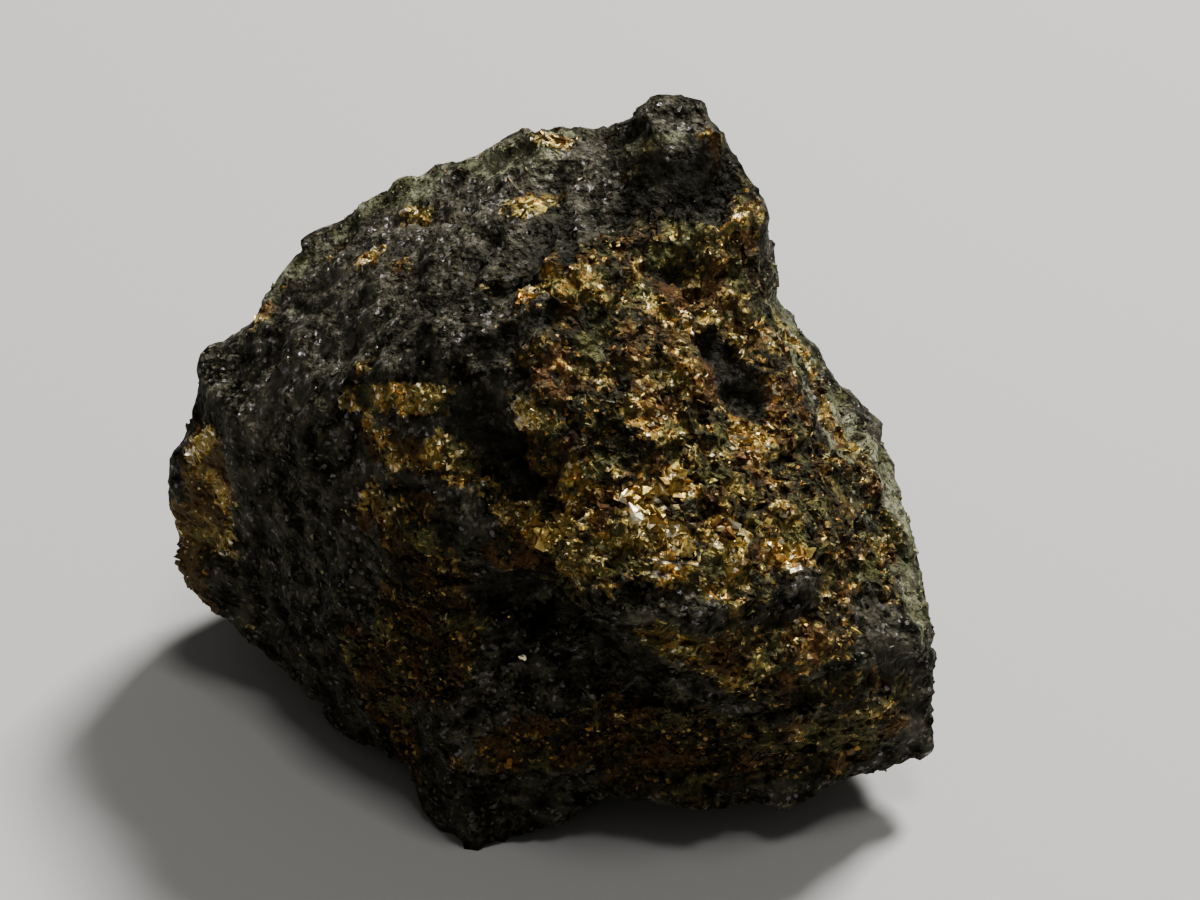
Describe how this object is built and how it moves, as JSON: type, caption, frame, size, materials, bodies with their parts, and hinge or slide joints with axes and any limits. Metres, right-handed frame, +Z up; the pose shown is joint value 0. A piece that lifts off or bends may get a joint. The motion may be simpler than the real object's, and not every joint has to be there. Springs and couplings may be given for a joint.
{
  "type": "pyrite with magnetite specimen",
  "caption": "Hand specimen of dark massive magnetite with a broken face of granular golden pyrite, standing on a flat foot.",
  "frame": {"origin": "centre of the bounding box, on the surface that the stone rests on", "axes": "+Z up, the broken pyrite face looks towards -Y, and the tapering tip of the stone points to -X"},
  "size_m": [0.082, 0.0588, 0.0657],
  "materials": {
    "magnetite": "satin",
    "pyrite": "satin"
  },
  "bodies": {
    "root": {"stone": "magnetite"}
  },
  "joints": []
}
